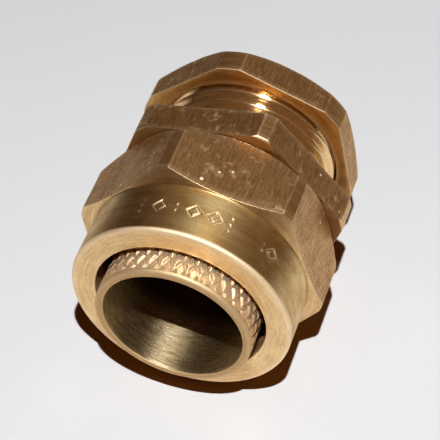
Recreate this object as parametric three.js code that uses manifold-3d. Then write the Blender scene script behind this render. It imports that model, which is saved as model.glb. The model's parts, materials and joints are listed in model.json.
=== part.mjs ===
// A brass gland that ends a steel-wire-armoured cable at a panel, screwed up with no cable in it.
// Millimetres. The gland's axis is +Y: the cable goes in at the -Y end, and the entry thread with
// its locknut is at the +Y end. The gland lies on its side, with +Z up. The origin is on the axis,
// halfway along the gland.
//
// gland_body     turned bar: hexagon, M20 entry thread behind it, M22 nut thread in front of it
// armour_cone    sleeve that goes under the armour wires, seated in the front of the body
// clamping_ring  loose tapered ring that presses the wires on to the cone
// gland_nut      hexagon nut with a round collar, which pushes the ring back
// locknut        thin hexagon nut that holds the gland in the panel

import * as THREE from "three";
import { mergeVertices } from "three/addons/utils/BufferGeometryUtils.js";
import Module from "manifold-3d";

const wasm = await Module();
wasm.setup();

// ---- driving dimensions -------------------------------------------------------------------

const FACETS = 40; // round a full circle
const PITCH = 1.5; // of both threads
const RUNNING_GAP = 0.05; // between faces that touch when the gland is screwed up
const OVERRUN = 1; // how far a shape that cuts or joins runs past the faces it meets
const SAME_POINT = 1e-4; // vertices closer than this are one

const BORE_RADIUS = 7.5; // the cable's inner sheath passes through it
const HEX_FLATS = 24; // across the flats of the body and of the gland nut
const HEX_CORNER_RADIUS = 13.5; // the corners are turned down to this radius

const BODY_HEX_LENGTH = 3.5;
const ENTRY_MAJOR_RADIUS = 9.97; // M20 x 1.5
const ENTRY_LENGTH = 10;
const SEAT_RADIUS = 10.25; // inside of the ring that bears on the panel
const SEAT_UNDERCUT = 0.3; // depth of the groove between that ring and the entry thread
const FRONT_MAJOR_RADIUS = 10.97; // M22 x 1.5
const FRONT_THREAD_LENGTH = 6.4;
const CONE_SEAT_RADIUS = 8.6;
const CONE_SEAT_DEPTH = 3;

const NUT_LENGTH = 13.8;
const NUT_FRONT_WALL = 2.2;
const COLLAR_RADIUS = 11.85;
const COLLAR_EDGE = 0.4; // rounding of the collar's outer edge
const OPENING_RADIUS = 9.2;
const NUT_HEX_FROM_FACE = 7; // from the collar's face to the front of the hexagon's corners
const NUT_CORNER_LENGTH = 5.3;
const FRONT_CHAMFER_SLOPE = 0.5; // axial length for each millimetre of radius
const BACK_CHAMFER_SLOPE = 1;
const CHAMBER_RADIUS = 10.35;
const RELIEF_RADIUS = 11.15; // turned groove where the nut's thread ends
const RELIEF_WIDTH = 1;

const NOSE_RADIUS = 8.4; // outside of the cone's sleeve
const NOSE_PROTRUSION = 2.4; // in front of the collar's face
const NOSE_LENGTH = 5.1; // straight part of the sleeve
const CONE_LENGTH = 3.2;
const CONE_RADIUS = 9.4;
const FLANGE_RADIUS = 9.9;

const RING_OUTER_RADIUS = 10.1;
const RING_LENGTH = 2.8;
const RING_BACK_RADIUS = 9.85; // inside the ring's thin edge

const LOCKNUT_FLATS = 22.6;
const LOCKNUT_CORNER_RADIUS = 12.35;
const LOCKNUT_LENGTH = 3.5;
const LOCKNUT_FROM_SEAT = 5.7;
const LOCKNUT_BORE_RADIUS = 10.12; // clears the entry thread's crests
const LOCKNUT_CHAMFER_SLOPE = 0.7;

// Angles about the axis, in degrees from +X towards +Z, of one corner of each hexagon. The gland
// rests on one corner of the nut and one of the body, which stand equally far from the lowest line.
const NUT_CORNER_ANGLE = 107.5;
const BODY_CORNER_ANGLE = 71.65;
const LOCKNUT_CORNER_ANGLE = 101;

// Places along the axis, from the face of the body's hexagon that bears on the panel.
const BODY_FRONT = -BODY_HEX_LENGTH - FRONT_THREAD_LENGTH;
const NUT_BACK = -BODY_HEX_LENGTH - RUNNING_GAP;
const NUT_FACE = -BODY_HEX_LENGTH - NUT_LENGTH;
const NOSE_FRONT = NUT_FACE - NOSE_PROTRUSION;
const MIDDLE = (NOSE_FRONT + ENTRY_LENGTH) / 2;

// ---- thread form --------------------------------------------------------------------------

const THREAD_DEPTH = 0.613 * PITCH;
const CREST_WIDTH = PITCH / 8;
const ROOT_WIDTH = PITCH / 4;
const THREAD_GAP = 0.1; // radial and axial play between the nut's thread and the body's
const CREST_AT_TOP = 5.2; // place of one crest of either thread on the line straight above the axis

// ---- helpers ------------------------------------------------------------------------------

// The geometry as a manifold-3d solid, with shared vertices merged.
function solid(geometry) {
  const bare = geometry.clone();
  bare.deleteAttribute("normal");
  bare.deleteAttribute("uv");
  const merged = mergeVertices(bare, SAME_POINT);
  return new wasm.Manifold(
    new wasm.Mesh({
      numProp: 3,
      vertProperties: new Float32Array(merged.attributes.position.array),
      triVerts: new Uint32Array(merged.index.array),
    }),
  );
}

// A manifold-3d solid as a three.js geometry.
function geometryOf(body) {
  const mesh = body.getMesh();
  const geometry = new THREE.BufferGeometry();
  geometry.setAttribute("position", new THREE.BufferAttribute(mesh.vertProperties, 3));
  geometry.setIndex(new THREE.BufferAttribute(mesh.triVerts, 1));
  geometry.computeVertexNormals();
  return geometry;
}

// A solid turned about the Y axis from a closed outline of [radius, y] points. The outline runs
// with the material on its left, seen with the radius to the right and y up.
function turned(outline) {
  const points = [...outline, outline[0]].map(([radius, y]) => new THREE.Vector2(radius, y));
  return solid(new THREE.LatheGeometry(points, FACETS));
}

// The same for a tube: an outer outline from low y to high y, and a bore of one radius.
function turnedTube(outer, boreRadius) {
  const low = outer[0][1];
  const high = outer[outer.length - 1][1];
  return turned([...outer, [boreRadius, high], [boreRadius, low]]);
}

// A hexagonal prism about the Y axis, with one corner at the given angle.
function hexPrism(acrossFlats, cornerAngle, low, high) {
  const cornerRadius = acrossFlats / Math.sqrt(3);
  const outline = new THREE.Shape();
  for (let corner = 0; corner < 6; corner++) {
    const angle = THREE.MathUtils.degToRad(cornerAngle + 60 * corner);
    const x = cornerRadius * Math.cos(angle);
    const z = cornerRadius * Math.sin(angle);
    if (corner === 0) outline.moveTo(x, -z);
    else outline.lineTo(x, -z);
  }
  outline.closePath();
  const prism = new THREE.ExtrudeGeometry(outline, { depth: high - low, bevelEnabled: false });
  prism.rotateX(-Math.PI / 2);
  prism.translate(0, low, 0);
  return solid(prism);
}

// A right-hand helix of the threads' pitch about the Y axis, from low to high. Its frames stay
// radial and axial all the way, so that a swept profile doesn't twist.
class ThreadPath extends THREE.Curve {
  constructor(radius, low, high) {
    super();
    this.radius = radius;
    this.low = low;
    this.high = high;
  }

  angle(y) {
    return Math.PI / 2 - (2 * Math.PI * (y - CREST_AT_TOP)) / PITCH;
  }

  // Evenly spaced in angle, so that the points stand on the edges of the turned solids' facets.
  getSpacedPoints(divisions) {
    return this.getPoints(divisions);
  }

  getPoint(t, target = new THREE.Vector3()) {
    const y = this.low + t * (this.high - this.low);
    const angle = this.angle(y);
    return target.set(this.radius * Math.cos(angle), y, this.radius * Math.sin(angle));
  }

  computeFrenetFrames(segments) {
    const frames = { tangents: [], normals: [], binormals: [] };
    const axis = new THREE.Vector3(0, 1, 0);
    for (let i = 0; i <= segments; i++) {
      const point = this.getPoint(i / segments);
      const radial = new THREE.Vector3(point.x, 0, point.z).normalize();
      frames.normals.push(radial);
      frames.binormals.push(axis.clone().negate());
      frames.tangents.push(new THREE.Vector3().crossVectors(radial, frames.binormals[i]));
    }
    return frames;
  }
}

// A thread form swept along the helix. The form stands on the root radius, reaches the crest
// radius, and goes a little below the root so that it joins the core. Grown makes it wider all round.
function threadRidge(majorRadius, low, high, grown = 0) {
  const sunk = 0.15;
  const rootHalf = (PITCH - ROOT_WIDTH) / 2 + grown;
  const crestHalf = CREST_WIDTH / 2 + grown;
  const form = new THREE.Shape();
  form.moveTo(-THREAD_DEPTH - sunk, -rootHalf);
  form.lineTo(-THREAD_DEPTH, -rootHalf);
  form.lineTo(grown, -crestHalf);
  form.lineTo(grown, crestHalf);
  form.lineTo(-THREAD_DEPTH, rootHalf);
  form.lineTo(-THREAD_DEPTH - sunk, rootHalf);
  form.closePath();
  const lead = PITCH / FACETS; // rise over one facet
  const first = Math.floor((low - CREST_AT_TOP) / lead);
  const last = Math.ceil((high - CREST_AT_TOP) / lead);
  const start = CREST_AT_TOP + first * lead;
  const extrudePath = new ThreadPath(majorRadius, start, CREST_AT_TOP + last * lead);
  const steps = last - first;
  return solid(new THREE.ExtrudeGeometry(form, { steps, extrudePath, bevelEnabled: false }));
}

// ---- pieces -------------------------------------------------------------------------------

// A threaded stub from root to tip, with its tip chamfered to the bottom of the thread.
function threadedStub(majorRadius, root, tip) {
  const core = majorRadius - THREAD_DEPTH;
  const chamfer = Math.sign(root - tip) * THREAD_DEPTH;
  const ends = [
    [majorRadius + RUNNING_GAP, root],
    [majorRadius + RUNNING_GAP, tip + chamfer],
    [core - RUNNING_GAP, tip],
  ].sort((a, b) => a[1] - b[1]);
  const envelope = turned([[0, ends[0][1]], ...ends, [0, ends[2][1]]]);
  const low = Math.min(root, tip);
  const high = Math.max(root, tip);
  const shank = turned([[0, low], [core, low], [core, high], [0, high]]);
  return shank.add(threadRidge(majorRadius, low - PITCH, high + PITCH)).intersect(envelope);
}

function glandBody() {
  const hexagon = hexPrism(HEX_FLATS, BODY_CORNER_ANGLE, -BODY_HEX_LENGTH, 0).intersect(
    turned([
      [0, -BODY_HEX_LENGTH],
      [HEX_CORNER_RADIUS, -BODY_HEX_LENGTH],
      [HEX_CORNER_RADIUS, 0],
      [0, 0],
    ]),
  );
  const undercut = turned([
    [0, -SEAT_UNDERCUT],
    [SEAT_RADIUS, -SEAT_UNDERCUT],
    [SEAT_RADIUS, OVERRUN],
    [0, OVERRUN],
  ]);
  const entry = threadedStub(ENTRY_MAJOR_RADIUS, -OVERRUN, ENTRY_LENGTH);
  const front = threadedStub(FRONT_MAJOR_RADIUS, OVERRUN - BODY_HEX_LENGTH, BODY_FRONT);
  const seatBottom = BODY_FRONT + CONE_SEAT_DEPTH;
  const bore = turned([
    [0, BODY_FRONT - OVERRUN],
    [CONE_SEAT_RADIUS, BODY_FRONT - OVERRUN],
    [CONE_SEAT_RADIUS, seatBottom],
    [BORE_RADIUS, seatBottom],
    [BORE_RADIUS, ENTRY_LENGTH + OVERRUN],
    [0, ENTRY_LENGTH + OVERRUN],
  ]);
  return hexagon.subtract(undercut).add(entry).add(front).subtract(bore);
}

function armourCone() {
  const spigotRadius = CONE_SEAT_RADIUS - RUNNING_GAP;
  const flangeBack = BODY_FRONT - RUNNING_GAP;
  const spigotBack = BODY_FRONT + CONE_SEAT_DEPTH - RUNNING_GAP;
  const edge = 0.2;
  const coneFront = NOSE_FRONT + NOSE_LENGTH;
  return turnedTube(
    [
      [NOSE_RADIUS - edge, NOSE_FRONT],
      [NOSE_RADIUS, NOSE_FRONT + edge],
      [NOSE_RADIUS, coneFront],
      [CONE_RADIUS, coneFront + CONE_LENGTH],
      [FLANGE_RADIUS, coneFront + CONE_LENGTH],
      [FLANGE_RADIUS, flangeBack],
      [spigotRadius, flangeBack],
      [spigotRadius, spigotBack],
    ],
    BORE_RADIUS,
  );
}

function clampingRing() {
  const front = NUT_FACE + NUT_FRONT_WALL + RUNNING_GAP;
  return turned([
    [OPENING_RADIUS, front],
    [RING_OUTER_RADIUS, front],
    [RING_OUTER_RADIUS, front + RING_LENGTH],
    [RING_BACK_RADIUS, front + RING_LENGTH],
  ]);
}

function glandNut() {
  const cornerFront = NUT_FACE + NUT_HEX_FROM_FACE;
  const cornerBack = cornerFront + NUT_CORNER_LENGTH;
  const frontChamfer = (HEX_CORNER_RADIUS - COLLAR_RADIUS) * FRONT_CHAMFER_SLOPE;
  const faceRadius = HEX_CORNER_RADIUS - (NUT_BACK - cornerBack) / BACK_CHAMFER_SLOPE;
  const envelope = turned([
    [0, cornerFront - frontChamfer],
    [COLLAR_RADIUS, cornerFront - frontChamfer],
    [HEX_CORNER_RADIUS, cornerFront],
    [HEX_CORNER_RADIUS, cornerBack],
    [faceRadius, NUT_BACK],
    [0, NUT_BACK],
  ]);
  const edgeMiddle = (1 - Math.SQRT1_2) * COLLAR_EDGE;
  const collar = turned([
    [0, NUT_FACE],
    [COLLAR_RADIUS - COLLAR_EDGE, NUT_FACE],
    [COLLAR_RADIUS - edgeMiddle, NUT_FACE + edgeMiddle],
    [COLLAR_RADIUS, NUT_FACE + COLLAR_EDGE],
    [COLLAR_RADIUS, cornerFront],
    [0, cornerFront],
  ]);
  const hexagon = hexPrism(HEX_FLATS, NUT_CORNER_ANGLE, cornerFront - frontChamfer, NUT_BACK);
  const chamberFront = NUT_FACE + NUT_FRONT_WALL;
  const threadMinor = FRONT_MAJOR_RADIUS - THREAD_DEPTH + THREAD_GAP;
  const reliefBack = BODY_FRONT - RUNNING_GAP;
  const reliefFront = reliefBack - RELIEF_WIDTH;
  const hollow = turned([
    [0, NUT_FACE - OVERRUN],
    [OPENING_RADIUS, NUT_FACE - OVERRUN],
    [OPENING_RADIUS, chamberFront],
    [CHAMBER_RADIUS, chamberFront],
    [CHAMBER_RADIUS, reliefFront],
    [RELIEF_RADIUS, reliefFront],
    [RELIEF_RADIUS, reliefBack],
    [threadMinor, reliefBack],
    [threadMinor, NUT_BACK + OVERRUN],
    [0, NUT_BACK + OVERRUN],
  ]);
  const threadFront = reliefBack - RELIEF_WIDTH / 2;
  const thread = threadRidge(FRONT_MAJOR_RADIUS, threadFront, NUT_BACK + PITCH, THREAD_GAP);
  return hexagon.intersect(envelope).add(collar).subtract(hollow).subtract(thread);
}

function locknut() {
  const front = LOCKNUT_FROM_SEAT;
  const back = front + LOCKNUT_LENGTH;
  const chamferRadius = LOCKNUT_FLATS / 2;
  const cornerBack = back - (LOCKNUT_CORNER_RADIUS - chamferRadius) * LOCKNUT_CHAMFER_SLOPE;
  const countersink = 0.4;
  const envelope = turned([
    [LOCKNUT_BORE_RADIUS + countersink, front],
    [LOCKNUT_CORNER_RADIUS, front],
    [LOCKNUT_CORNER_RADIUS, cornerBack],
    [chamferRadius, back],
    [LOCKNUT_BORE_RADIUS + countersink, back],
    [LOCKNUT_BORE_RADIUS, back - countersink],
    [LOCKNUT_BORE_RADIUS, front + countersink],
  ]);
  return hexPrism(LOCKNUT_FLATS, LOCKNUT_CORNER_ANGLE, front, back).intersect(envelope);
}

// ---- scene graph --------------------------------------------------------------------------

function brass(color, roughness) {
  return new THREE.MeshStandardMaterial({ color, roughness, metalness: 1 });
}

const pieces = {
  gland_body: [glandBody(), brass(0xb08d57, 0.35)],
  armour_cone: [armourCone(), brass(0xb9936a, 0.35)],
  clamping_ring: [clampingRing(), brass(0xc09a5b, 0.4)],
  gland_nut: [glandNut(), brass(0xbb9a60, 0.38)],
  locknut: [locknut(), brass(0xb38f55, 0.32)],
};

const gland = new THREE.Group();
gland.name = "cable_gland";
for (const [name, [body, material]] of Object.entries(pieces)) {
  const mesh = new THREE.Mesh(geometryOf(body), material);
  mesh.name = name;
  mesh.position.y = -MIDDLE;
  gland.add(mesh);
}

export default gland;
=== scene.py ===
"""The looks of a brass cable gland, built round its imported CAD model.

The gland's axis is Y, with the cable end at -Y and the entry thread at +Y, and +Z is up. Sizes
are in millimetres until a mesh is made. Every piece is a skin of revolution: a ring of columns,
each with its own outline of [radius, y] points, so that a hexagon, a chamfer, a knurl or a stamp
is only a change of radius from column to column.
"""

import json
import math

import bmesh
import bpy
import numpy as np
from mathutils import Matrix, Vector


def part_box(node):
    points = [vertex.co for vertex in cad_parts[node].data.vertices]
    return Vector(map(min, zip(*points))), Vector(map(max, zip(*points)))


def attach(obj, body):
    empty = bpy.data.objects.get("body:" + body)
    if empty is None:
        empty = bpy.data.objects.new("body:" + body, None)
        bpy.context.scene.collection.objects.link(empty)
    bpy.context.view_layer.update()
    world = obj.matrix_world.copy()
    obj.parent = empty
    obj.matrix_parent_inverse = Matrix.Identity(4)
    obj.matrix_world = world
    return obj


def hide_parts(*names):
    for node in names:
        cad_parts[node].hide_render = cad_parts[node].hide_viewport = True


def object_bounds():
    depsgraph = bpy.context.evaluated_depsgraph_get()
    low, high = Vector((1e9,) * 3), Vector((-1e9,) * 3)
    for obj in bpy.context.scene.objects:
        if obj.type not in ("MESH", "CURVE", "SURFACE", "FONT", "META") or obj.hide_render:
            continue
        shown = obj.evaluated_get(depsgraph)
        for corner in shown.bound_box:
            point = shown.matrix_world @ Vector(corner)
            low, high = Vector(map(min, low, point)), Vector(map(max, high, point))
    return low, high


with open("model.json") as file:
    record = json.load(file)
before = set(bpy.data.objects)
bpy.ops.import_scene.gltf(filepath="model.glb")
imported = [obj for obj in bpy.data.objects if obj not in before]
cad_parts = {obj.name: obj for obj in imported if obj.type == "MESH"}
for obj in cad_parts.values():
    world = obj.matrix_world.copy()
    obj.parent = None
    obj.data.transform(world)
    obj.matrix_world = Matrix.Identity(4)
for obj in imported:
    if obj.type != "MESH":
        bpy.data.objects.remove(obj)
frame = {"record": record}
cad_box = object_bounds()

MM = 0.001


def span(node):
    """Where a CAD node starts and ends along the axis, in millimetres."""
    low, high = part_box(node)
    return low.y / MM, high.y / MM


# ---- sizes from the frame -----------------------------------------------------------------

NUT_FACE, NUT_BACK = span("gland_nut")
BODY_FRONT, ENTRY_END = span("gland_body")
NOSE_FRONT, CONE_BACK = span("armour_cone")
RING_FRONT, RING_BACK = span("clamping_ring")
LOCKNUT_FRONT, LOCKNUT_BACK = span("locknut")
RING_RADIUS = (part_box("clamping_ring")[1].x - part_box("clamping_ring")[0].x) / 2 / MM
FLOOR_Z = cad_box[0][2]
SEAT_Y = next(m["pos_m"][1] for m in frame["record"]["mounts"] if m["name"] == "panel_seat") / MM

# ---- sizes of features --------------------------------------------------------------------

GAP = 0.05  # between pieces that touch
BACK_STEP = 0.03  # least length of the chamfers at the backs of the nuts
EDGE = 0.05  # rounding of an edge that is only broken
FINE_EDGE = 0.03
BORE_EDGE = 0.06
HEX_EDGE = 0.09
HEX_FLATS = 24.0  # across flats
HEX_CORNER_RADIUS = 13.5  # what the corners are turned down to
LOCKNUT_FLATS = 22.6
LOCKNUT_CORNER_RADIUS = 12.35
NUT_CORNER_ANGLE = 107.5  # degrees from +X towards +Z
BODY_CORNER_ANGLE = 71.65
LOCKNUT_CORNER_ANGLE = 101.0

BORE_RADIUS = 7.5
SEAT_RADIUS = 10.25
SEAT_UNDERCUT = 0.3
ENTRY_EDGE = 0.25
BODY_HEX_FRONT = NUT_BACK + GAP
BODY_FRONT_RADIUS = 13.3  # where the front corners of the body's hexagon are turned down to
BODY_FRONT_SLOPE = 0.6  # axial length of that chamfer for each millimetre of radius
BODY_FRONT_STEP = 0.04  # size of that chamfer on the middle of a flat
CONE_SEAT_RADIUS = 8.6

COLLAR_RADIUS = 11.85
COLLAR_EDGE = 0.42
OPENING_RADIUS = 9.2
OPENING_EDGE = 0.12
NUT_CORNER_FRONT = NUT_FACE + 7.0
NUT_CORNER_BACK = NUT_CORNER_FRONT + 5.3
NUT_FRONT_SLOPE = 0.5  # axial length of the chamfer for each millimetre of radius
NUT_BACK_SLOPE = 1.0
NUT_FRONT_EDGE = 0.02
NUT_WALL = 2.2
CHAMBER_RADIUS = 10.35
RELIEF_RADIUS = 11.15
RELIEF_BACK = BODY_FRONT - GAP
RELIEF_FRONT = RELIEF_BACK - 1.0

NOSE_RADIUS = 8.4
NOSE_EDGE = 0.4
CONE_START = NOSE_FRONT + 5.1
CONE_END = CONE_START + 3.2
CONE_RADIUS = 9.4
FLANGE_RADIUS = 9.9
FLANGE_BACK = BODY_FRONT - GAP
SPIGOT_EDGE = 0.1

RING_EDGE = 0.1
RING_BORE_EDGE = 0.08
RING_WALL_AT_BACK = 0.25  # the ring is thinnest there

LOCKNUT_FRONT_EDGE = 0.06
LOCKNUT_BACK_SLOPE = 0.7  # axial length of its chamfer for each millimetre of radius
LOCKNUT_FACE_INSET = 0.1
LOCKNUT_MOUTH = 0.1  # how far the mouths of its thread are opened out
LOCKNUT_MOUTH_SLOPE = 0.9  # millimetres of radius for each of length

PITCH = 1.5
THREAD_DEPTH = 0.613 * PITCH
ROOT_HALF = 0.125  # half of the root's flat, as a share of the pitch
CREST_HALF = 0.0625  # and of the crest's
THREAD_SOFTNESS = 0.16  # how round crest and root are
CORE_MARGIN = 0.03  # how far below the root a male thread's ends reach
RUNOUT_START = 0.35  # distance from the shoulder at which a thread begins
RUNOUT_SLOPE = 1.6  # millimetres of radius for each of length
TIP_SLOPE = 1.0
ENTRY_RADIUS = 9.97  # outside radius of the entry thread
FRONT_RADIUS = 10.97  # and of the thread that the gland nut screws on
CREST_AT_TOP = SEAT_Y + 5.2  # place of one crest on the line straight above the axis
THREAD_GAP = 0.1  # radial play
THREAD_ROWS = 18  # to each pitch
SPARE_PITCHES = 2  # drawn beyond each end, where they are cut off

COLUMNS = 720
NUT_COLUMNS = 1080  # finer, for the punch marks
KNURL_COLUMNS = 28  # to each start of the knurl
ARC_STEPS = 4  # on each rounded edge
TINY = 1e-9  # stands in for a length of nothing
WELD = 0.0008  # vertices closer than this become one
SLIVER = 0.0004  # edges shorter than this are dissolved
# where the pale edges set in and where they are full: partly wear, partly a painted highlight
EDGE_SHEEN_AND_WEAR_START = 0.01  # the drop to a vertex's neighbours at which wear sets in
EDGE_SHEEN_AND_WEAR_RANGE = 0.07

KNURL_STARTS = 38
KNURL_LEAN = 0.55  # tangent of the grooves' angle to the axis
KNURL_DEPTH = 0.24
KNURL_LAND = 0.55  # share of the pitch that is left flat between two grooves
KNURL_FRONT = NOSE_FRONT + 0.4
KNURL_BACK = NOSE_FRONT + 4.9
KNURL_FADE = 0.3  # length over which the grooves run out at each end

STAMP_Y = NUT_FACE + 3.3
STAMP_HALF_WIDTH = 0.17
STAMP_DEPTH = 0.11
STRIKE = 0.75  # share of the full depth in the middle of a mark
LEAST_STRIKE = 0.1
DOT_SPACING = 0.8


# ---- skins of revolution ------------------------------------------------------------------


def turns_with(edges_deg=(), count=COLUMNS):
    """Columns as fractions of a turn, with extra ones at the given angles from +X towards +Z."""
    extra = [((90 - edge) / 360) % 1 for edge in edges_deg]
    return np.unique(np.round(np.concatenate([np.arange(count) / count, extra]), 7))


def angles_of(turns):
    """Radians from +X towards +Z. A right-hand thread moves towards +Y as the turns grow."""
    return math.pi / 2 - 2 * math.pi * turns


def rounded_outline(corners, columns, closed):
    """Points [column, row, (radius, y)] along an outline, and the zone of each row.

    A corner is (radius, y, rounding, rows, zone). A radius or a y can be one number or one for
    each column. Rounding takes that length off each side of the corner, and rows is how many
    steps lead on to the next corner.
    """
    places = []
    for radius, y, *_ in corners:
        place = np.empty((columns, 2))
        place[:, 0], place[:, 1] = radius, y
        places.append(place)

    def towards(a, b):
        step = places[b] - places[a]
        return step / np.maximum(np.linalg.norm(step, axis=1, keepdims=True), TINY)

    points, zones = [], []
    count = len(corners)
    for i, (_, _, rounding, rows, zone) in enumerate(corners):
        last = not closed and i == count - 1
        first = not closed and i == 0
        after = (i + 1) % count
        leave = places[i]
        if rounding and not first and not last:
            enter = places[i] + towards(i, i - 1) * rounding
            leave = places[i] + towards(i, after) * rounding
            for k in range(ARC_STEPS):
                u = k / ARC_STEPS
                points.append((1 - u) ** 2 * enter + 2 * u * (1 - u) * places[i] + u * u * leave)
                zones.append(zone)
        points.append(leave)
        zones.append(zone)
        if last:
            break
        reach = places[after] + towards(after, i) * corners[after][2]
        for k in range(1, rows):
            points.append(leave + (reach - leave) * k / rows)
            zones.append(zone)
    return np.stack(points, axis=1), zones


def mark_edges(mesh):
    """Gives each vertex an edge value: 0 on smooth or hollow surface, 1 on an outer edge or tip.

    It is how far a vertex's neighbours drop below its tangent plane, as the sine of an angle. It
    makes edges pale and rough: partly rubbed brass, partly a painted highlight.
    """
    count = len(mesh.vertices)
    places = np.empty(count * 3)
    mesh.vertices.foreach_get("co", places)
    places = places.reshape(-1, 3)
    normals = np.empty(count * 3)
    mesh.vertex_normals.foreach_get("vector", normals)
    normals = normals.reshape(-1, 3)
    edges = np.empty(len(mesh.edges) * 2, dtype=int)
    mesh.edges.foreach_get("vertices", edges)
    a, b = edges.reshape(-1, 2).T
    way = places[b] - places[a]
    way /= np.maximum(np.linalg.norm(way, axis=1, keepdims=True), TINY * MM)
    drop_at_a = np.bincount(a, -(way * normals[a]).sum(1), count)
    drop_at_b = np.bincount(b, (way * normals[b]).sum(1), count)
    neighbours = np.bincount(a, minlength=count) + np.bincount(b, minlength=count)
    drop = (drop_at_a + drop_at_b) / neighbours
    edge_sheen_and_wear = mesh.attributes.new("edge_sheen_and_wear", "FLOAT", "POINT")
    edge_sheen_and_wear.data.foreach_set("value", np.clip((drop - EDGE_SHEEN_AND_WEAR_START) / EDGE_SHEEN_AND_WEAR_RANGE, 0, 1))


def thread_height(along):
    """A thread's height, 0 at the root and 1 at the crest, with both rounded.

    Along is in pitches, with a crest at each whole number.
    """
    from_crest = np.abs((along + 0.5) % 1 - 0.5)
    flank = (0.5 - ROOT_HALF - from_crest) / (0.5 - ROOT_HALF - CREST_HALF)
    soft = THREAD_SOFTNESS
    low_end = soft * np.log1p(np.exp(flank / soft))
    return 1 - soft * np.log1p(np.exp((1 - low_end) / soft)) + soft * math.log1p(math.exp(-1 / soft))


class Skin:
    """One piece's surface, put together from sheets that share their columns."""

    def __init__(self, turns):
        self.turns = turns
        self.angles = angles_of(turns)
        self.columns = len(turns)
        self.vertices = []
        self.faces = []
        self.zones = []
        self.used = 0

    def sheet(self, points, zone_rows, closed=False, seam_rows=0):
        """Adds a sheet. At the end of the turn, row j meets row j + seam_rows of the first column."""
        columns, rows = points.shape[:2]
        radius, y = points[..., 0], points[..., 1]
        cos, sin = np.cos(self.angles)[:, None], np.sin(self.angles)[:, None]
        self.vertices.append(np.stack([radius * cos, y, radius * sin], axis=-1).reshape(-1, 3))
        number = np.arange(columns * rows).reshape(columns, rows) + self.used
        self.used += columns * rows
        wrapped = np.roll(number, -1, axis=0)
        if seam_rows:
            shifted = np.minimum(np.arange(rows) + seam_rows, rows - 1)
            wrapped[-1] = number[0, shifted]
        steps = rows if closed else rows - 1
        for j in range(steps):
            k = (j + 1) % rows
            quads = np.stack([number[:, j], wrapped[:, j], wrapped[:, k], number[:, k]], axis=1)
            self.faces.append(quads)
            self.zones.append(np.broadcast_to(zone_rows[j], (columns,)))

    def outline(self, corners, closed=True, cut_zone=None, cut=None):
        """Adds a sheet along corners. In rows of cut_zone, cut(angles, y) is the depth to take off."""
        points, zones = rounded_outline(corners, self.columns, closed)
        for j, zone in enumerate(zones):
            if cut and isinstance(zone, str) and zone == cut_zone:
                points[:, j, 0] -= cut(self.angles, points[:, j, 1])
        self.sheet(points, zones, closed)

    def thread(self, low, high, radius, zone, limit, inside=False):
        """Adds a thread between two ends. limit(y) is the radius it may not pass."""
        first = math.floor((low - CREST_AT_TOP) / PITCH) - SPARE_PITCHES
        last = math.ceil((high - CREST_AT_TOP) / PITCH) + SPARE_PITCHES
        along = np.arange(first * THREAD_ROWS, last * THREAD_ROWS) / THREAD_ROWS
        height = thread_height(along)
        y = CREST_AT_TOP + PITCH * (self.turns[:, None] + along[None, :])
        r = np.broadcast_to(radius - THREAD_DEPTH * (1 - height), y.shape)
        y = np.clip(y, low, high)
        r = np.maximum(r, limit(y)) if inside else np.minimum(r, limit(y))
        r = np.where(y <= low, limit(np.array(low)), r)
        r = np.where(y >= high, limit(np.array(high)), r)
        self.sheet(np.stack([r, y], axis=-1), [zone] * len(along), seam_rows=THREAD_ROWS)

    def build(self, name, body, node, materials):
        """Makes the object, welded into one closed surface, and puts it in place of the CAD node."""
        mesh = bpy.data.meshes.new(name)
        vertices = np.concatenate(self.vertices) * MM
        faces = np.concatenate(self.faces)
        mesh.vertices.add(len(vertices))
        mesh.vertices.foreach_set("co", vertices.ravel())
        mesh.loops.add(faces.size)
        mesh.loops.foreach_set("vertex_index", faces.ravel())
        mesh.polygons.add(len(faces))
        mesh.polygons.foreach_set("loop_start", np.arange(len(faces)) * 4)
        used, index = np.unique(np.concatenate(self.zones), return_inverse=True)
        mesh.polygons.foreach_set("material_index", index)
        mesh.update(calc_edges=True)
        for zone in used:
            mesh.materials.append(materials[str(zone)])
        work = bmesh.new()
        work.from_mesh(mesh)
        bmesh.ops.remove_doubles(work, verts=work.verts, dist=WELD * MM)
        bmesh.ops.dissolve_degenerate(work, edges=work.edges, dist=SLIVER * MM)
        bmesh.ops.recalc_face_normals(work, faces=work.faces)
        work.to_mesh(mesh)
        work.free()
        mesh.polygons.foreach_set("use_smooth", [True] * len(mesh.polygons))
        mark_edges(mesh)
        piece = bpy.data.objects.new(name, mesh)
        bpy.context.scene.collection.objects.link(piece)
        normals = piece.modifiers.new("normals", "WEIGHTED_NORMAL")
        normals.weight = 100  # the largest faces decide
        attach(piece, body)
        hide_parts(node)


def band_edges(flats, corner_radius, corner_angle):
    """The angles, in degrees, where the six flats give way to the turned-down corners."""
    half = 30 - math.degrees(math.acos(flats / 2 / corner_radius))
    return [corner_angle + 60 * k + side * half for k in range(6) for side in (-1, 0, 1)]


def hex_radius(angles, flats, corner_radius, corner_angle):
    """Radius of a hexagon with turned-down corners, and which columns are on a corner.

    The edges between the flats and the corners are rounded a little.
    """
    across = (np.degrees(angles) - corner_angle) % 60 - 30
    plane = flats / 2 / np.cos(np.radians(across))
    mix = np.clip(0.5 + 0.5 * (corner_radius - plane) / EDGE, 0, 1)
    radius = corner_radius + (plane - corner_radius) * mix - EDGE * mix * (1 - mix)
    return radius, plane > corner_radius


# ---- materials ----------------------------------------------------------------------------


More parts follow.
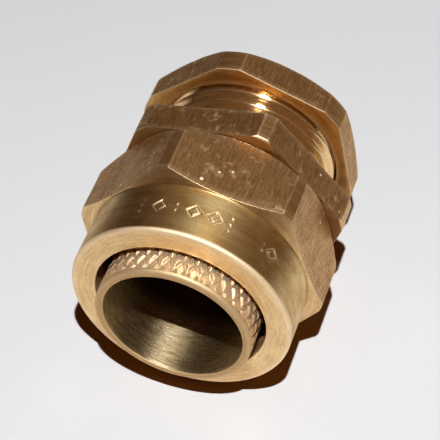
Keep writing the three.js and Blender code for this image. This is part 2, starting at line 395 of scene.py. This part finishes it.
class Shader:
    """A material's node tree, with short calls to add nodes and join them."""

    def __init__(self, tree):
        self.tree = tree
        tree.nodes.clear()

    def node(self, kind, inputs=None, **settings):
        made = self.tree.nodes.new("ShaderNode" + kind)
        for key, value in settings.items():
            setattr(made, key, value)
        for key, value in (inputs or {}).items():
            socket = made.inputs[key]
            if isinstance(value, bpy.types.NodeSocket):
                self.tree.links.new(value, socket)
            else:
                socket.default_value = value
        return made

    def math(self, operation, a, b=0.0, clamp=False):
        return self.node("Math", {0: a, 1: b}, operation=operation, use_clamp=clamp).outputs[0]

    def vector(self, operation, a, b):
        return self.node("VectorMath", {0: a, 1: b}, operation=operation).outputs[0]

    def noise(self, vector, scale, detail=2.0, w=None, roughness=0.5):
        inputs = {"Vector": vector, "Scale": scale, "Detail": detail, "Roughness": roughness}
        if w is not None:
            inputs["W"] = w
        dimensions = "3D" if w is None else "4D"
        return self.node("TexNoise", inputs, noise_dimensions=dimensions).outputs["Fac"]

    def remap(self, value, low, high, to_low=0.0, to_high=1.0):
        inputs = {"Value": value, "From Min": low, "From Max": high, "To Min": to_low, "To Max": to_high}
        return self.node("MapRange", inputs).outputs[0]

    def ramp(self, value, stops):
        """A colour that changes along value, from (place, colour) stops."""
        made = self.node("ValToRGB", {0: value})
        elements = made.color_ramp.elements
        while len(elements) < len(stops):
            elements.new(1.0)
        for element, (place, color) in zip(elements, stops):
            element.position = place
            element.color = color
        return made.outputs[0]

    def mix(self, factor, a, b):
        """A mix of two colours."""
        return self.node("Mix", {0: factor, 6: a, 7: b}, data_type="RGBA").outputs[2]

    def weighted(self, a, share_a, b, share_b):
        """The sum of two values, each times its share."""
        part_a = self.math("MULTIPLY", a, share_a)
        part_b = self.math("MULTIPLY", b, share_b)
        return self.math("ADD", part_a, part_b)

    def nudged(self, value, pattern, share):
        """A value moved up and down by a pattern whose middle is 0.5."""
        offset = self.math("SUBTRACT", pattern, 0.5)
        return self.math("ADD", value, self.math("MULTIPLY", offset, share))

    def place(self):
        """The shaded point, in millimetres."""
        return self.vector("MULTIPLY", self.node("TexCoord").outputs["Object"], (1 / MM,) * 3)

    def length(self, a, b):
        """The length of a vector of two numbers."""
        return self.math("SQRT", self.weighted(a, a, b, b))


def new_material(name):
    """A material, and a shader for its empty node tree."""
    material = bpy.data.materials.new(name)
    material.use_nodes = True
    return material, Shader(material.node_tree)


# Clean brass, by how each surface was made, and a painted shade.
BRASS = (0.86, 0.685, 0.40, 1)
ROSY = (0.94, 0.79, 0.60, 1)
SAWN = (0.92, 0.72, 0.42, 1)
GOLDEN = (0.88, 0.61, 0.25, 1)
OLIVE = (0.82, 0.68, 0.40, 1)
BUFF = (0.93, 0.76, 0.48, 1)
CUT = (0.90, 0.69, 0.41, 1)
GREENISH = (0.88, 0.82, 0.58, 1)
DRAB = (0.58, 0.46, 0.26, 1)
# painted shade: dark brown for the body's shoulder in the gap behind the gland nut
SHADED = (0.30, 0.19, 0.08, 1)

# Tarnish, dirt and wear, pale edges that are partly wear and partly a painted highlight, and painted
# shade deep in the bore.
OLD = (0.62, 0.43, 0.24, 1)
OLD_FLAT = (0.62, 0.41, 0.22, 1)
OLD_OLIVE = (0.50, 0.32, 0.13, 1)
OLD_GREENISH = (0.42, 0.37, 0.24, 1)
BROWN = (0.36, 0.19, 0.08, 1)
# painted shade: the dark of the bore deep inside the gland, where little light reaches
DEEP_BORE_SHADE = (0.10, 0.036, 0.011, 1)
SMUDGE = (0.72, 0.66, 0.50, 1)
# pale edges: partly wear, partly a painted highlight on edges and thread crests
PALE_WEAR_AND_SHEEN = (0.97, 0.86, 0.68, 1)
DING = (1.0, 0.95, 0.85, 1)

# Scales of the patterns, in repeats for each millimetre.
CLOUD_SCALE = 0.3
PATCH_SCALE = 1.1
FINE_SCALE = 6.0
DING_SCALE = 0.7
DRAWN_STRETCH = 0.07  # how far a millimetre along the axis moves the pattern of drawn lines
TURNED_STRETCH = 0.8  # how far a radian round the axis moves the pattern of turned lines
STREAK_SCALE = 0.3  # of the streaks, as a share of the lines' own

# Where a pattern starts to show and where it shows in full.
STAIN_RANGE = (0.42, 0.72)
LINE_RANGE = (0.46, 0.73)
PATCH_RANGE = (0.52, 0.66)
CLOUD_RANGE = (0.45, 0.6)

CLOUD_IN_STAIN = 0.75
STREAKS_IN_STAIN = 0.4
LINES_IN_SHADE = 0.7
FINE_IN_SHADE = 0.5
CLOUD_ROUGHNESS = 0.2
FINE_ROUGHNESS = 0.35
WORN_ROUGHNESS = 0.25

SMUDGE_SHARE = 0.6
SMUDGE_DUST = 0.3
DING_CHANCE = (0.35, 1.0)  # a cell's random number, from no ding to the largest
DING_RADIUS = 0.17
DING_EDGE = 0.06
DING_DUST = 0.6
KNOCK_ROUGHNESS = 0.2

# painted shade deep inside the bore: where it starts, where it is full and how strong it is
BORE_SHADE_STARTS = 8.6  # distance from the middle of the gland's length
BORE_SHADE_FULL = 6.6
BORE_SHADE_SHARE = 0.9


def tool_lines(sh, grain, place, width):
    """Noise stretched into fine lines and wider streaks, along the axis or round it."""
    if grain == "drawn":
        along = sh.vector("MULTIPLY", place, (1.0, DRAWN_STRETCH, 1.0))
        w = 0.0
    else:
        x, y, z = sh.node("SeparateXYZ", {0: place}).outputs
        radius = sh.length(x, z)
        cos = sh.math("MULTIPLY", sh.math("DIVIDE", x, radius), TURNED_STRETCH)
        along = sh.node("CombineXYZ", {0: radius, 1: y, 2: cos}).outputs[0]
        w = sh.math("MULTIPLY", sh.math("DIVIDE", z, radius), TURNED_STRETCH)
    lines = sh.noise(along, 1 / width, 3.0, w=w, roughness=0.7)
    streaks = sh.noise(along, STREAK_SCALE / width, 2.0, w=w)
    return lines, streaks


def line_tangent(sh, grain):
    """The direction across the tool lines, which is the one that a highlight spreads in."""
    geometry = sh.node("NewGeometry").outputs
    axis = (0.0, 1.0, 0.0)
    if grain == "drawn":
        spread = sh.vector("CROSS_PRODUCT", axis, geometry["Normal"])
    else:
        around = sh.vector("CROSS_PRODUCT", axis, geometry["Position"])
        spread = sh.vector("CROSS_PRODUCT", around, geometry["Normal"])
    return sh.vector("NORMALIZE", spread, (0.0, 0.0, 0.0))


def knocked(sh, place, cloud, knocks, color, rough, metallic):
    """Colour, roughness and metallic share with faint smudges and small pale dings added."""
    patch = sh.noise(place, PATCH_SCALE, 4.0, roughness=0.6)
    clouded = sh.remap(cloud, *CLOUD_RANGE)
    smudge = sh.math("MULTIPLY", sh.remap(patch, *PATCH_RANGE), clouded)
    smudge = sh.math("MULTIPLY", smudge, SMUDGE_SHARE * knocks)
    color = sh.mix(smudge, color, SMUDGE)
    cell = sh.node("TexVoronoi", {"Vector": place, "Scale": DING_SCALE, "Randomness": 1.0}).outputs
    chance = sh.node("SeparateColor", {0: cell["Color"]}).outputs[0]
    radius = sh.remap(chance, *DING_CHANCE, 0.0, DING_RADIUS)
    inside = sh.math("SUBTRACT", radius, cell["Distance"])
    ding = sh.remap(inside, 0.0, DING_EDGE, 0.0, knocks)
    color = sh.mix(ding, color, DING)
    knock = sh.math("ADD", ding, smudge)
    rough = sh.math("ADD", rough, sh.math("MULTIPLY", knock, KNOCK_ROUGHNESS))
    dust = sh.weighted(ding, DING_DUST, smudge, SMUDGE_DUST)
    metallic = sh.math("SUBTRACT", metallic, dust, clamp=True)
    return color, rough, metallic


def brass(
    name,
    grain,
    tint=BRASS,
    tarnish=OLD,
    mottle=0.4,
    roughness=0.35,
    anisotropy=0.0,
    line_width=0.16,
    line_depth=0.003,
    line_tint=0.4,
    speckle=0.002,
    knocks=0.0,
    edge_wear_and_sheen=0.6,
    dullness=0.0,
    painted_deep_shade=False,
):
    """Brass with fine tool lines: "drawn" ones run along the axis and "turned" ones round it.

    Line width, line depth and speckle, which is the depth of the fine grain, are in millimetres.
    Mottle is how strongly tarnish lies in clouds on the tint, and line_tint how brown the lines
    are. Knocks is how strong smudges and small pale dings are. The edge share is how pale the
    outer edges get: partly rubbed brass, partly a painted highlight. Dullness is the share of the
    light that a dusty skin scatters, and the deep-shade flag paints shade that darkens a bore
    towards the middle of the gland's length.
    """
    material, sh = new_material(name)
    place = sh.place()
    lines, streaks = tool_lines(sh, grain, place, line_width)
    cloud = sh.noise(place, CLOUD_SCALE, 5.0, roughness=0.65)
    fine = sh.noise(place, FINE_SCALE, 3.0, roughness=0.75)
    edge_sheen_and_wear = sh.node("Attribute", attribute_name="edge_sheen_and_wear").outputs["Fac"]
    worn_and_lit_edge = sh.math("MULTIPLY", edge_sheen_and_wear, edge_wear_and_sheen)

    stain = sh.weighted(cloud, CLOUD_IN_STAIN, streaks, STREAKS_IN_STAIN)
    color = sh.mix(sh.remap(stain, *STAIN_RANGE, 0.0, mottle), tint, tarnish)
    shade = sh.weighted(lines, LINES_IN_SHADE, fine, FINE_IN_SHADE)
    color = sh.mix(sh.remap(shade, *LINE_RANGE, 0.0, line_tint), color, BROWN)
    # pale edges, partly wear and partly a painted highlight
    color = sh.mix(worn_and_lit_edge, color, PALE_WEAR_AND_SHEEN)
    # painted shade deep inside the bore, darker towards the middle of the gland's length
    if painted_deep_shade:
        y = sh.node("SeparateXYZ", {0: place}).outputs[1]
        depth = sh.remap(sh.math("ABSOLUTE", y), BORE_SHADE_STARTS, BORE_SHADE_FULL, 0.0, BORE_SHADE_SHARE)
        color = sh.mix(depth, color, DEEP_BORE_SHADE)

    rough = sh.nudged(roughness, cloud, CLOUD_ROUGHNESS)
    rough = sh.nudged(rough, fine, FINE_ROUGHNESS)
    rough = sh.math("ADD", rough, sh.math("MULTIPLY", worn_and_lit_edge, WORN_ROUGHNESS), clamp=True)
    metallic = 1 - dullness
    if knocks:
        color, rough, metallic = knocked(sh, place, cloud, knocks, color, rough, metallic)

    height = sh.weighted(lines, line_depth, fine, speckle)
    bump = sh.node("Bump", {"Height": height, "Distance": MM, "Strength": 1.0})
    surface = sh.node(
        "BsdfPrincipled",
        {
            "Base Color": color,
            "Metallic": metallic,
            "Roughness": rough,
            "Anisotropic": anisotropy,
            "Tangent": line_tangent(sh, grain),
            "Normal": bump.outputs[0],
        },
    )
    sh.node("OutputMaterial", {"Surface": surface.outputs[0]})
    return material


def drawn_flats():
    """The flats of the hexagons: drawn bar with a dense grain, stained and knocked about."""
    return brass(
        "drawn_flats",
        "drawn",
        SAWN,
        OLD_FLAT,
        mottle=0.9,
        roughness=0.5,
        line_width=0.1,
        line_depth=0.016,
        line_tint=0.9,
        speckle=0.013,
        knocks=0.9,
        dullness=0.04,
    )


def turned_corners():
    """The bands where the hexagons' corners are turned down."""
    return brass(
        "turned_corners",
        "turned",
        SAWN,
        OLD_FLAT,
        mottle=0.8,
        roughness=0.48,
        anisotropy=0.1,
        line_width=0.2,
        line_depth=0.006,
        line_tint=0.7,
        dullness=0.04,
    )


def turned_chamfers():
    """The chamfers at the ends of the hexagons."""
    return brass(
        "turned_chamfers",
        "turned",
        mottle=0.9,
        roughness=0.42,
        anisotropy=0.5,
        line_tint=0.5,
        edge_wear_and_sheen=0.5,
    )


def hidden_shoulder():
    """The body's shoulder in the narrow gap behind the gland nut, painted dark brown as shade."""
    return brass("hidden_shoulder", "turned", SHADED, BROWN, mottle=0.6, roughness=0.7)


def locknut_front():
    """The face that the locknut turns towards the panel."""
    return brass("locknut_front", "turned", GOLDEN, BROWN, mottle=0.6, roughness=0.5)


def turned_collar():
    """The gland nut's collar: finely turned, with soft stains."""
    return brass(
        "turned_collar",
        "turned",
        OLIVE,
        OLD_OLIVE,
        mottle=0.85,
        roughness=0.44,
        anisotropy=0.62,
        line_tint=0.35,
        dullness=0.07,
    )


def dull_face():
    """The flat faces at the ends of the pieces."""
    return brass("dull_face", "turned", BUFF, roughness=0.5, speckle=0.006, dullness=0.15)


def cut_thread():
    """The threads: bright and smooth."""
    return brass(
        "cut_thread",
        "turned",
        CUT,
        mottle=0.3,
        roughness=0.17,
        anisotropy=0.85,
        line_width=0.1,
        line_depth=0.006,
        line_tint=0.3,
        edge_wear_and_sheen=0.25,
        dullness=0.08,
    )


def bored_inside():
    """The bore and the chamber: deep tool lines, and painted shade in the middle of the gland's length,
    where little light gets in.
    """
    return brass(
        "bored_inside",
        "turned",
        GREENISH,
        OLD_GREENISH,
        mottle=0.45,
        roughness=0.38,
        anisotropy=0.75,
        line_width=0.15,
        line_depth=0.045,
        line_tint=0.9,
        speckle=0.024,
        dullness=0.06,
        painted_deep_shade=True,
    )


def knurled():
    """The cone's knurled nose, a little pinker and duller than the rest."""
    return brass(
        "knurled",
        "turned",
        ROSY,
        mottle=0.3,
        roughness=0.29,
        line_tint=0.2,
        speckle=0.004,
        edge_wear_and_sheen=0.3,
        dullness=0.3,
    )


def nose_rim():
    """The rest of the cone outside, with a dull rim round its bore."""
    return brass(
        "nose_rim",
        "turned",
        DRAB,
        roughness=0.6,
        line_tint=0.3,
        speckle=0.006,
        edge_wear_and_sheen=0.2,
        dullness=0.25,
    )


finish = {
    "flat": drawn_flats(),
    "band": turned_corners(),
    "chamfer": turned_chamfers(),
    "shoulder": hidden_shoulder(),
    "inner": locknut_front(),
    "collar": turned_collar(),
    "face": dull_face(),
    "thread": cut_thread(),
    "bore": bored_inside(),
    "knurl": knurled(),
    "rim": nose_rim(),
}


# ---- pieces -------------------------------------------------------------------------------


def stub_limit(root, tip, radius):
    """The radius a male thread may reach: it runs out at the shoulder and its tip is chamfered."""
    core = radius - THREAD_DEPTH - CORE_MARGIN
    way = math.copysign(1.0, tip - root)

    def limit(y):
        from_root = (y - root) * way
        from_tip = (tip - y) * way
        runout = core + np.maximum(from_root - RUNOUT_START, 0) * RUNOUT_SLOPE
        chamfer = core + np.maximum(from_tip, 0) * TIP_SLOPE
        return np.minimum(np.minimum(runout, chamfer), radius)

    return limit


def make_body():
    """The hexagon with its panel seat, and a threaded stub on each side."""
    shape = (HEX_FLATS, HEX_CORNER_RADIUS, BODY_CORNER_ANGLE)
    skin = Skin(turns_with(band_edges(*shape)))
    hexagon, corner = hex_radius(skin.angles, *shape)
    sides = np.where(corner, "band", "flat")
    cut = np.maximum(hexagon - BODY_FRONT_RADIUS, 0)
    front_hex = BODY_HEX_FRONT + cut * BODY_FRONT_SLOPE
    entry_core = ENTRY_RADIUS - THREAD_DEPTH - CORE_MARGIN
    front_core = FRONT_RADIUS - THREAD_DEPTH - CORE_MARGIN
    seat_bottom = CONE_BACK + GAP
    seat_root = SEAT_Y - SEAT_UNDERCUT
    skin.outline(
        [
            (front_core, BODY_FRONT, 0, 2, "face"),
            (CONE_SEAT_RADIUS, BODY_FRONT, BORE_EDGE, 2, "bore"),
            (CONE_SEAT_RADIUS, seat_bottom, BORE_EDGE, 2, "bore"),
            (BORE_RADIUS, seat_bottom, BORE_EDGE, 12, "bore"),
            (BORE_RADIUS, ENTRY_END, ENTRY_EDGE, 3, "face"),
            (entry_core, ENTRY_END, 0, 1, "face"),
        ],
        closed=False,
    )
    entry_limit = stub_limit(seat_root, ENTRY_END, ENTRY_RADIUS)
    skin.thread(seat_root, ENTRY_END, ENTRY_RADIUS, "thread", entry_limit)
    skin.outline(
        [
            (entry_core, seat_root, 0, 1, "chamfer"),
            (SEAT_RADIUS, seat_root, EDGE, 1, "chamfer"),
            (SEAT_RADIUS, SEAT_Y, EDGE, 3, "face"),
            (hexagon, SEAT_Y, HEX_EDGE, 6, sides),
            (hexagon, front_hex + BODY_FRONT_STEP, HEX_EDGE, 3, "chamfer"),
            (hexagon - cut - BODY_FRONT_STEP, BODY_HEX_FRONT, FINE_EDGE, 3, "shoulder"),
            (front_core, BODY_HEX_FRONT, 0, 1, "shoulder"),
        ],
        closed=False,
    )
    front_limit = stub_limit(BODY_HEX_FRONT, BODY_FRONT, FRONT_RADIUS)
    skin.thread(BODY_FRONT, BODY_HEX_FRONT, FRONT_RADIUS, "thread", front_limit)
    skin.build("body_shell", "body", "gland_body", finish)


def make_nut():
    """The gland nut: collar and hexagon outside, opening, chamber and thread inside."""
    shape = (HEX_FLATS, HEX_CORNER_RADIUS, NUT_CORNER_ANGLE)
    skin = Skin(turns_with(band_edges(*shape), NUT_COLUMNS))
    hexagon, corner = hex_radius(skin.angles, *shape)
    sides = np.where(corner, "band", "flat")
    front = NUT_CORNER_FRONT - (HEX_CORNER_RADIUS - hexagon) * NUT_FRONT_SLOPE
    back = NUT_CORNER_BACK + (HEX_CORNER_RADIUS - hexagon) * NUT_BACK_SLOPE
    collar_end = NUT_CORNER_FRONT - (HEX_CORNER_RADIUS - COLLAR_RADIUS) * NUT_FRONT_SLOPE
    back_radius = HEX_CORNER_RADIUS - (NUT_BACK - NUT_CORNER_BACK) / NUT_BACK_SLOPE
    mouth = FRONT_RADIUS + THREAD_GAP
    minor = mouth - THREAD_DEPTH
    skin.outline(
        [
            (mouth, NUT_BACK, 0, 2, "face"),
            (back_radius - EDGE, NUT_BACK, EDGE, 2, "chamfer"),
            (hexagon, np.minimum(back, NUT_BACK - BACK_STEP), EDGE, 8, sides),
            (hexagon, front, NUT_FRONT_EDGE, 3, "chamfer"),
            (COLLAR_RADIUS, collar_end, EDGE, 60, "collar"),
            (COLLAR_RADIUS, NUT_FACE, COLLAR_EDGE, 6, "face"),
            (OPENING_RADIUS, NUT_FACE, OPENING_EDGE, 4, "face"),
            (OPENING_RADIUS, NUT_FACE + NUT_WALL, EDGE, 1, "bore"),
            (CHAMBER_RADIUS, NUT_FACE + NUT_WALL, EDGE, 6, "bore"),
            (CHAMBER_RADIUS, RELIEF_FRONT, EDGE, 1, "bore"),
            (RELIEF_RADIUS, RELIEF_FRONT, EDGE, 3, "bore"),
            (RELIEF_RADIUS, RELIEF_BACK, EDGE, 1, "bore"),
            (minor, RELIEF_BACK, 0, 1, "bore"),
        ],
        closed=False,
        cut_zone="collar",
        cut=stamp_depth,
    )

    def limit(y):
        """The thread's crests are cut away towards the nut's mouth."""
        return np.maximum(minor, mouth - np.maximum(NUT_BACK - y, 0) * TIP_SLOPE)

    skin.thread(RELIEF_BACK, NUT_BACK, mouth, "thread", limit, inside=True)
    skin.build("nut_shell", "nut", "gland_nut", finish)


def diamond_mark(s, y, size):
    """The distance from the outline of a square that stands on its corner."""
    return np.abs(np.abs(s) + np.abs(y) - size) * math.sqrt(0.5)


def dots_mark(s, y, count):
    """The distance from the nearest of some dots in a row along the axis."""
    return np.min([np.hypot(s, y - (k - (count - 1) / 2) * DOT_SPACING) for k in range(count)], axis=0)


def stamp_depth(angles, y):
    """A row of plain punch marks, unevenly struck: no letters and no numbers.

    A mark is (place round the collar, shape, size or count of dots, how its strike leans).
    """
    marks = [
        (-5.0, dots_mark, 3, -0.3),
        (-3.0, diamond_mark, 0.7, 0.5),
        (-1.2, dots_mark, 2, 0.2),
        (0.6, diamond_mark, 0.7, -0.6),
        (2.7, diamond_mark, 0.65, 0.6),
        (4.3, dots_mark, 3, 0.4),
        (8.3, dots_mark, 2, -0.3),
        (9.6, diamond_mark, 0.7, 0.5),
    ]
    s = ((math.pi / 2 - angles + math.pi) % (2 * math.pi) - math.pi) * COLLAR_RADIUS
    depth = np.zeros_like(y)
    for place, mark, size, tilt in marks:
        cut = np.clip(1 - mark(s - place, y - STAMP_Y, size) / STAMP_HALF_WIDTH, 0, 1)
        strike = np.clip(STRIKE + tilt * (y - STAMP_Y), LEAST_STRIKE, 1)
        depth = np.maximum(depth, cut * cut * (3 - 2 * cut) * strike)
    return STAMP_DEPTH * depth


def knurl_depth(angles, y):
    """Two crossing families of grooves that leave flat-topped diamonds."""
    around = angles / (2 * math.pi) * KNURL_STARTS
    pitch = 2 * math.pi * NOSE_RADIUS / KNURL_STARTS
    lean = y * KNURL_LEAN / pitch

    def ridge(phase):
        """0 in the middle of a groove and 1 in the middle between two."""
        return 1 - np.abs(2 * (phase % 1) - 1)

    height = np.minimum(ridge(around + lean), ridge(around - lean))
    height = np.clip(height / (1 - KNURL_LAND), 0, 1)
    fade = np.clip(np.minimum(y - KNURL_FRONT, KNURL_BACK - y) / KNURL_FADE, 0, 1)
    return KNURL_DEPTH * (1 - height) * fade


def make_cone():
    """The armour cone: knurled nose, cone, flange and the spigot that sits in the body."""
    skin = Skin(turns_with(count=KNURL_COLUMNS * KNURL_STARTS))
    spigot = CONE_SEAT_RADIUS - GAP
    skin.outline(
        [
            (NOSE_RADIUS - EDGE, NOSE_FRONT, NOSE_EDGE, 2, "rim"),
            (NOSE_RADIUS, KNURL_FRONT, 0, 66, "knurl"),
            (NOSE_RADIUS, KNURL_BACK, 0, 1, "rim"),
            (NOSE_RADIUS, CONE_START, 0, 10, "rim"),
            (CONE_RADIUS, CONE_END, FINE_EDGE, 1, "rim"),
            (FLANGE_RADIUS, CONE_END, EDGE, 2, "rim"),
            (FLANGE_RADIUS, FLANGE_BACK, EDGE, 1, "rim"),
            (spigot, FLANGE_BACK, EDGE, 2, "rim"),
            (spigot, CONE_BACK, SPIGOT_EDGE, 1, "rim"),
            (BORE_RADIUS, CONE_BACK, SPIGOT_EDGE, 30, "bore"),
            (BORE_RADIUS, NOSE_FRONT, OPENING_EDGE, 3, "rim"),
        ],
        cut_zone="knurl",
        cut=knurl_depth,
    )
    skin.build("cone_shell", "body", "armour_cone", finish)


def make_ring():
    """The clamping ring, whose bore widens towards its back as the cone does."""
    skin = Skin(turns_with())
    skin.outline(
        [
            (OPENING_RADIUS, RING_FRONT, RING_BORE_EDGE, 2, "face"),
            (RING_RADIUS, RING_FRONT, RING_EDGE, 4, "face"),
            (RING_RADIUS, RING_BACK, EDGE, 1, "face"),
            (RING_RADIUS - RING_WALL_AT_BACK, RING_BACK, EDGE, 4, "face"),
        ]
    )
    skin.build("ring_shell", "ring", "clamping_ring", finish)


def make_locknut():
    """The thin hexagon on the entry thread, chamfered at its back only."""
    shape = (LOCKNUT_FLATS, LOCKNUT_CORNER_RADIUS, LOCKNUT_CORNER_ANGLE)
    skin = Skin(turns_with(band_edges(*shape)))
    hexagon, corner = hex_radius(skin.angles, *shape)
    sides = np.where(corner, "band", "flat")
    back_radius = LOCKNUT_FLATS / 2
    back = LOCKNUT_BACK - (hexagon - back_radius) * LOCKNUT_BACK_SLOPE
    major = ENTRY_RADIUS + THREAD_GAP
    minor = major - THREAD_DEPTH
    mouth = major + LOCKNUT_MOUTH
    skin.outline(
        [
            (mouth, LOCKNUT_FRONT, 0, 3, "inner"),
            (hexagon, LOCKNUT_FRONT, LOCKNUT_FRONT_EDGE, 6, sides),
            (hexagon, np.minimum(back, LOCKNUT_BACK - BACK_STEP), EDGE, 2, "chamfer"),
            (back_radius - LOCKNUT_FACE_INSET, LOCKNUT_BACK, EDGE, 3, "face"),
            (mouth, LOCKNUT_BACK, 0, 1, "face"),
        ],
        closed=False,
    )

    def limit(y):
        """The thread's crests are cut away towards both mouths."""
        from_end = np.minimum(y - LOCKNUT_FRONT, LOCKNUT_BACK - y)
        return np.maximum(minor, mouth - np.maximum(from_end, 0) * LOCKNUT_MOUTH_SLOPE)

    skin.thread(LOCKNUT_FRONT, LOCKNUT_BACK, major, "thread", limit, inside=True)
    skin.build("locknut_shell", "locknut", "locknut", finish)


make_body()
make_nut()
make_cone()
make_ring()
make_locknut()


# ---- stage --------------------------------------------------------------------------------

FLOOR_HALF = 1500.0
BOARD_ROUGHNESS = 0.6
# the floor runs from darker at the front to paler at the back: painted light that evens out the near
# lamp's fall-off
BOARD_FRONT = (0.645, 0.66, 0.67, 1)  # the floor as the camera sees it
BOARD_BACK = (0.81, 0.83, 0.84, 1)
BOARD_FRONT_Y = -60.0
BOARD_BACK_Y = 80.0
BOARD_DRIFT = 12.0  # how unevenly the one runs into the other
DRIFT_SCALE = 0.03  # in repeats for each millimetre
POOL_RADIUS = 100.0  # the floor is lit by the lamp alone this far out
POOL_END = 2.5 * POOL_RADIUS  # where it has melted into the backdrop
BACKDROP = (0.54, 0.54, 0.54, 1)
BOARD_MIRRORED = (0.82, 0.82, 0.82, 1)  # the floor as reflections see it
SHEET_RADIUS = 130.0  # how far that reaches
SHEET_END = SHEET_RADIUS + 80.0
BEYOND = (0.05, 0.028, 0.012, 1)  # and what they see past it
# painted shade: bounced light sees a brown floor, which turns the shadows it fills dark brown
BOARD_BOUNCED = (0.55, 0.28, 0.06, 1)  # the floor as bounced light sees it

WALL = (0.045, 0.022, 0.010, 1)
WALL_TOP = 0.4  # heights in the room are sines of an elevation
CEILING = (0.11, 0.062, 0.030, 1)
CEILING_EDGE = 0.78
RIGHT_WALL = (0.17, 0.105, 0.055, 1)
RIGHT_WALL_START = 0.25
RIGHT_WALL_FULL = 0.8
AMBIENT = (0.045, 0.013, 0.001, 1)  # what fills the shadows

KEY_AZIMUTH = 19.5  # degrees
KEY_ELEVATION = 66.0
KEY_DISTANCE = 310.0
KEY_RADIUS = 2.4
KEY_POWER = 3.5
KEY_COLOR = (0.965, 0.985, 1.0)

CAMERA = Vector((36.8, SEAT_Y - 118.6, 139.0))
CAMERA_LOOK = Vector((-0.1996, 0.6215, -0.7575))
CAMERA_ROLL = math.radians(0.45)
LENS_MM = 140.9
SENSOR_MM = 36.0
CLIP_END_M = 10.0
FOCUS_AT = Vector((0.0, BODY_HEX_FRONT, 9.0))
F_STOP = 80.0


def pale_board():
    """Matt board, paler towards the back as painted light against the lamp's fall-off. Only a sheet of
    it shows in reflections, and far off it melts into the backdrop.
    """
    material, sh = new_material("pale_board")
    place = sh.place()
    x, y, _ = sh.node("SeparateXYZ", {0: place}).outputs
    drift = sh.math("MULTIPLY", sh.noise(place, DRIFT_SCALE, 3.0), BOARD_DRIFT)
    # painted light: paler towards the back, against the near lamp's fall-off
    towards_back = sh.remap(sh.math("ADD", y, drift), BOARD_FRONT_Y, BOARD_BACK_Y)
    color = sh.mix(towards_back, BOARD_FRONT, BOARD_BACK)
    away = sh.length(x, y)
    path = sh.node("LightPath").outputs
    seen = path["Is Camera Ray"]
    mirrored = sh.mix(sh.remap(away, SHEET_RADIUS, SHEET_END), BOARD_MIRRORED, BEYOND)
    # painted shade: bounced light sees the floor brown, so the shadows turn dark brown
    mirrored = sh.mix(sh.math("MINIMUM", path["Diffuse Depth"], 1.0), mirrored, BOARD_BOUNCED)
    color = sh.mix(seen, mirrored, color)
    board = sh.node("BsdfPrincipled", {"Base Color": color, "Roughness": BOARD_ROUGHNESS})
    glow = sh.node("Emission", {"Color": BACKDROP, "Strength": 1.0})
    melted = sh.math("MULTIPLY", seen, sh.remap(away, POOL_RADIUS, POOL_END))
    surface = sh.node("MixShader", {0: melted, 1: board.outputs[0], 2: glow.outputs[0]})
    sh.node("OutputMaterial", {"Surface": surface.outputs[0]})
    return material


def make_floor():
    """A wide flat floor that the gland lies on."""
    mesh = bpy.data.meshes.new("floor")
    half = FLOOR_HALF * MM
    around = [(-half, -half), (half, -half), (half, half), (-half, half)]
    mesh.from_pydata([(x, y, FLOOR_Z) for x, y in around], [], [(0, 1, 2, 3)])
    mesh.materials.append(pale_board())
    floor = bpy.data.objects.new("floor", mesh)
    bpy.context.scene.collection.objects.link(floor)


def direction(azimuth, elevation):
    """A unit vector: azimuth 0 is towards -Y, and turns towards +X."""
    a, e = math.radians(azimuth), math.radians(elevation)
    return Vector((math.sin(a) * math.cos(e), -math.cos(a) * math.cos(e), math.sin(e)))


def make_key():
    """A small bright lamp, high and to the right, a little above the camera's direction."""
    light = bpy.data.lights.new("key", "POINT")
    light.shadow_soft_size = KEY_RADIUS * MM
    light.energy = KEY_POWER
    light.color = KEY_COLOR
    key = bpy.data.objects.new("key", light)
    key.location = direction(KEY_AZIMUTH, KEY_ELEVATION) * KEY_DISTANCE * MM
    key.visible_camera = False
    bpy.context.scene.collection.objects.link(key)


def make_room():
    """A dim warm room in the reflections, and a pale plain backdrop for the camera."""
    world = bpy.data.worlds.new("room")
    bpy.context.scene.world = world
    world.use_nodes = True
    sh = Shader(world.node_tree)
    right, _, up = sh.node("SeparateXYZ", {0: sh.node("TexCoord").outputs["Generated"]}).outputs
    stops = [(0.0, WALL), (WALL_TOP, WALL), (CEILING_EDGE, CEILING), (1.0, CEILING)]
    to_right = sh.remap(right, RIGHT_WALL_START, RIGHT_WALL_FULL)
    room = sh.mix(to_right, sh.ramp(up, stops), RIGHT_WALL)
    path = sh.node("LightPath").outputs
    dimmed = sh.mix(path["Is Diffuse Ray"], room, AMBIENT)
    color = sh.mix(path["Is Camera Ray"], dimmed, BACKDROP)
    background = sh.node("Background", {"Color": color, "Strength": 1.0})
    sh.node("OutputWorld", {"Surface": background.outputs[0]})


def make_camera():
    """A long lens, high in front of the gland, focused on the gap behind the gland nut."""
    data = bpy.data.cameras.new("camera")
    data.lens = LENS_MM
    data.sensor_width = SENSOR_MM
    data.clip_start = MM
    data.clip_end = CLIP_END_M
    data.dof.use_dof = True
    data.dof.focus_distance = (FOCUS_AT - CAMERA).dot(CAMERA_LOOK.normalized()) * MM
    data.dof.aperture_fstop = F_STOP
    camera = bpy.data.objects.new("camera", data)
    bpy.context.scene.collection.objects.link(camera)
    turn = CAMERA_LOOK.to_track_quat("-Z", "Y").to_matrix().to_4x4()
    roll = Matrix.Rotation(CAMERA_ROLL, 4, "Z")
    camera.matrix_world = Matrix.Translation(CAMERA * MM) @ turn @ roll
    bpy.context.scene.camera = camera


make_floor()
make_room()
make_key()
make_camera()
bpy.context.scene.view_settings.view_transform = "Standard"
bpy.context.scene.view_settings.look = "High Contrast"
